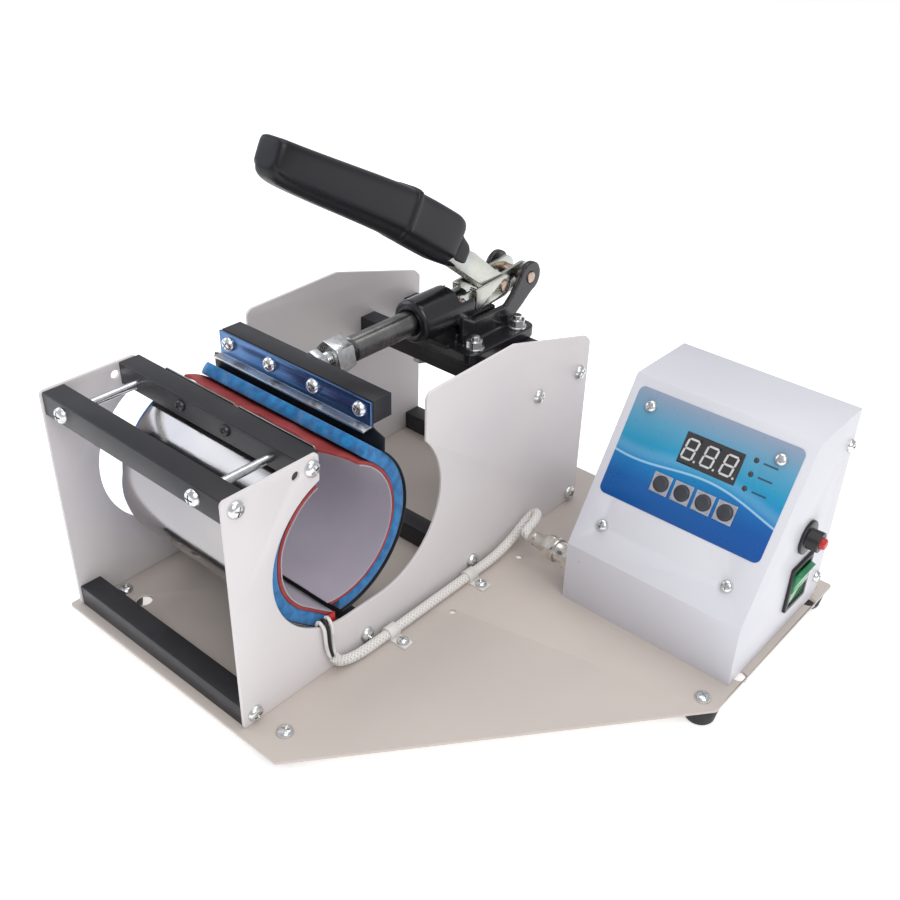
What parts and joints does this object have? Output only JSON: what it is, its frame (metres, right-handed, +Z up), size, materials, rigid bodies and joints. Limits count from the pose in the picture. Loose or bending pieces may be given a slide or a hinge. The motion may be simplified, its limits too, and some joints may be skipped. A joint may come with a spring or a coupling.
{
  "type": "mug heat press",
  "caption": "Bench press that wraps a heated pad around a mug and closes it with a push toggle clamp, beside a sloping controller box with display, keys and mains switch.",
  "frame": {"origin": "on the bench, under the middle of the whole machine", "axes": "+X to the right along the mug's axis, towards the controller; +Y to the rear, the way the plunger retracts; +Z up"},
  "size_m": [0.3516, 0.343, 0.301],
  "materials": {
    "cream_paint": "satin",
    "white_paint": "satin",
    "black_paint": "satin",
    "black_casting": "satin",
    "zinc_steel": "satin",
    "nickel": "polished",
    "mirror_steel": "polished",
    "dark_steel": "satin",
    "rivet_steel": "satin",
    "black_rubber": "matt",
    "black_grip": "satin",
    "blue_sponge": "matt",
    "red_silicone": "matt",
    "liner_cloth": "satin",
    "black_sheet": "matt",
    "wire_white": "satin",
    "tab_red": "matt",
    "sleeve_white": "matt",
    "clip_nylon": "satin",
    "overlay_film": "gloss",
    "display_black": "gloss",
    "lamp_dark": "gloss",
    "circuit_board": "satin",
    "switch_grey": "satin",
    "button_grey": "satin",
    "black_plastic": "satin",
    "rocker_green": "gloss",
    "button_red": "gloss"
  },
  "bodies": {
    "press": {"base_plate": "cream_paint", "rubber_feet": "black_rubber", "foot_screws": "nickel", "left_side_plate": "cream_paint", "right_side_plate": "cream_paint", "front_top_bar": "black_paint", "second_top_bar": "black_paint", "bottom_bars": "black_paint", "rear_top_bars": "black_paint", "plate_screws": "nickel", "jack_screws": "nickel", "band_screws": "black_paint", "front_band": "mirror_steel", "front_sponge": "blue_sponge", "front_heater": "red_silicone", "front_liner": "liner_cloth", "clamp_body": "black_casting", "clamp_bolts": "nickel", "clamp_nuts": "nickel", "handle_pin": "rivet_steel", "heater_wires": "wire_white", "earth_tab": "tab_red", "cable_sleeve": "sleeve_white", "cable_clips": "clip_nylon", "clip_screws": "nickel", "cable_gland": "nickel", "case_shell": "white_paint", "case_rear_panel": "white_paint", "case_screws": "nickel", "face_overlay": "overlay_film", "display": "display_black", "indicator_lamps": "lamp_dark", "control_board": "circuit_board", "power_board": "circuit_board", "mounting_posts": "zinc_steel", "switch_bodies": "switch_grey", "switch_frame": "black_plastic", "breaker_body": "black_plastic", "power_inlet": "black_plastic"},
    "jaw": {"plunger": "dark_steel", "plunger_pin": "rivet_steel", "spindle": "zinc_steel", "spindle_nuts": "nickel", "clamp_bar": "black_paint", "bracket": "mirror_steel", "bracket_screws": "nickel", "rear_sheet": "black_sheet", "rear_sponge": "blue_sponge", "rear_heater": "red_silicone", "rear_liner": "liner_cloth"},
    "handle": {"handle_lever": "zinc_steel", "handle_grip": "black_grip"},
    "link": {"link_plates": "zinc_steel", "link_rivets": "rivet_steel"},
    "rocker": {"switch_rocker": "rocker_green"},
    "breaker_push": {"breaker_button": "button_red"},
    "key_1": {"button_1": "button_grey"},
    "key_2": {"button_2": "button_grey"},
    "key_3": {"button_3": "button_grey"},
    "key_4": {"button_4": "button_grey"}
  },
  "joints": [
    {"name": "handle_swing", "type": "hinge", "parent": "press", "child": "handle", "pos_m": [-0.09375, 0.151, 0.161], "axis": [-1, 0, 0], "range_deg": [0, 90]},
    {"name": "plunger_slide", "type": "slide", "parent": "press", "child": "jaw", "axis": [0, 1, 0], "range_m": [0, 0.0301]},
    {"name": "link_swing", "type": "hinge", "parent": "jaw", "child": "link", "pos_m": [-0.09375, 0.089, 0.157], "axis": [1, 0, 0], "range_deg": [0, 37]},
    {"name": "power_rocker", "type": "hinge", "parent": "press", "child": "rocker", "pos_m": [0.16105, 0.115, 0.0475], "axis": [0, -1, 0], "range_deg": [0, 22]},
    {"name": "breaker_reset", "type": "slide", "parent": "press", "child": "breaker_push", "axis": [1, 0, 0], "range_m": [0, 0.0025]},
    {"name": "key_press_1", "type": "slide", "parent": "press", "child": "key_1", "axis": [0, 0.8583, -0.5132], "range_m": [0, 0.00035], "stiffness_N_per_m": 2500, "springref_m": -0.0003},
    {"name": "key_press_2", "type": "slide", "parent": "press", "child": "key_2", "axis": [0, 0.8583, -0.5132], "range_m": [0, 0.00035], "stiffness_N_per_m": 2500, "springref_m": -0.0003},
    {"name": "key_press_3", "type": "slide", "parent": "press", "child": "key_3", "axis": [0, 0.8583, -0.5132], "range_m": [0, 0.00035], "stiffness_N_per_m": 2500, "springref_m": -0.0003},
    {"name": "key_press_4", "type": "slide", "parent": "press", "child": "key_4", "axis": [0, 0.8583, -0.5132], "range_m": [0, 0.00035], "stiffness_N_per_m": 2500, "springref_m": -0.0003}
  ],
  "couplings": [
    {"joint": "plunger_slide", "follows": "handle_swing", "m_per_rad": 0.019099},
    {"joint": "link_swing", "follows": "handle_swing", "ratio": 0.407}
  ]
}
